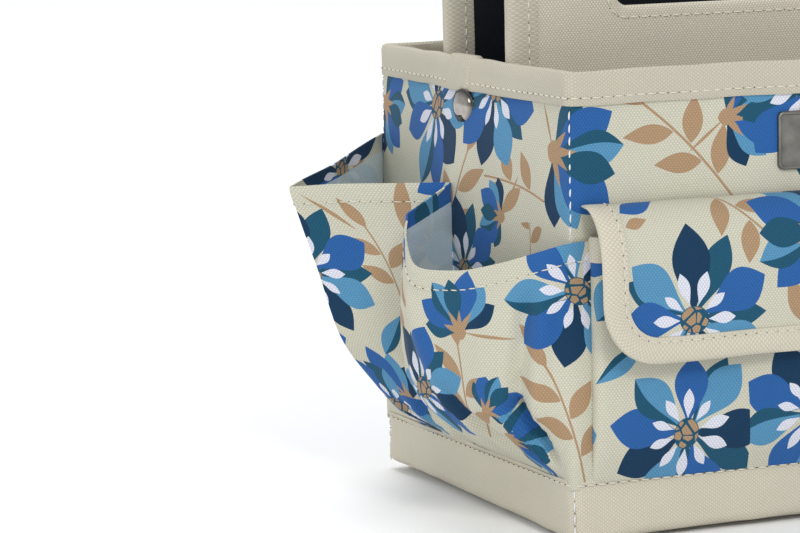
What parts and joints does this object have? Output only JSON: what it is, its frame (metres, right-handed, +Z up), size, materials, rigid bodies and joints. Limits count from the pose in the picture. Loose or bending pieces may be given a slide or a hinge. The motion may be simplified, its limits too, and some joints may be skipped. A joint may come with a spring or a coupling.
{
  "type": "garden tool bag",
  "caption": "Stiffened cloth garden tote with a floral print, two handle boards that divide its inside, a flapped front pocket and loose pockets on every other side.",
  "frame": {"origin": "centre of the body's base, on the floor", "axes": "+Z up; -Y is the front with the flapped pocket and the plate; X runs along the bag's length and along both handles"},
  "size_m": [0.38, 0.2178, 0.278],
  "materials": {
    "printed_cloth": "matt woven floral print, plain beige reverse",
    "plain_cloth": "matt plain weave",
    "tape": "ribbed woven tape",
    "navy_lining": "matt dark lining",
    "pocket_cloth": "matt woven floral print, grey-blue reverse",
    "board": "hidden stiffening board",
    "hook_tape": "hook and loop tape",
    "nickel": "polished nickel, lightly scratched",
    "pewter": "cast pewter, satin"
  },
  "bodies": {
    "bag": {"back_board": "board", "back_left_pocket": "pocket_cloth", "back_lining": "plain_cloth", "back_middle_pocket": "pocket_cloth", "back_panel": "printed_cloth", "back_right_pocket": "pocket_cloth", "base_band_back": "plain_cloth", "base_band_front": "plain_cloth", "base_band_left": "plain_cloth", "base_band_right": "plain_cloth", "base_board": "board", "base_panel": "plain_cloth", "floor_lining": "plain_cloth", "front_board": "board", "front_divider_board": "board", "front_divider_cloth": "plain_cloth", "front_divider_lining": "navy_lining", "front_lining": "plain_cloth", "front_panel": "printed_cloth", "front_pocket": "pocket_cloth", "front_pocket_binding": "tape", "hook_patch": "hook_tape", "left_end_lining": "plain_cloth", "left_end_panel": "printed_cloth", "left_end_stiffener": "board", "left_front_pocket": "pocket_cloth", "left_rear_pocket": "pocket_cloth", "left_snap_cap": "nickel", "left_snap_socket": "nickel", "name_plate": "pewter", "rear_divider_board": "board", "rear_divider_cloth": "plain_cloth", "rear_divider_lining": "navy_lining", "right_end_lining": "plain_cloth", "right_end_panel": "printed_cloth", "right_end_stiffener": "board", "right_front_pocket": "pocket_cloth", "right_rear_pocket": "pocket_cloth", "right_snap_cap": "nickel", "right_snap_socket": "nickel", "rim_binding": "tape"},
    "front_flap": {"flap_binding": "tape", "flap_cloth": "printed_cloth", "flap_lining": "plain_cloth", "loop_patch": "hook_tape"},
    "front_handle": {"front_handle_binding": "tape", "front_handle_board": "board", "front_handle_cloth": "plain_cloth", "front_handle_lining": "navy_lining"},
    "rear_handle": {"rear_handle_binding": "tape", "rear_handle_board": "board", "rear_handle_cloth": "plain_cloth", "rear_handle_lining": "navy_lining"}
  },
  "joints": [
    {"name": "flap_lift", "type": "hinge", "parent": "bag", "child": "front_flap", "pos_m": [0, -0.097, 0.138], "axis": [-1, 0, 0], "range_deg": [0, 100]},
    {"name": "front_handle_lean", "type": "hinge", "parent": "bag", "child": "front_handle", "pos_m": [0, -0.0317, 0.1925], "axis": [-1, 0, 0], "range_deg": [-6, 19], "stiffness_Nm_per_rad": 0.6},
    {"name": "rear_handle_lean", "type": "hinge", "parent": "bag", "child": "rear_handle", "pos_m": [0, 0.0317, 0.1925], "axis": [1, 0, 0], "range_deg": [-6, 19], "stiffness_Nm_per_rad": 0.6}
  ]
}
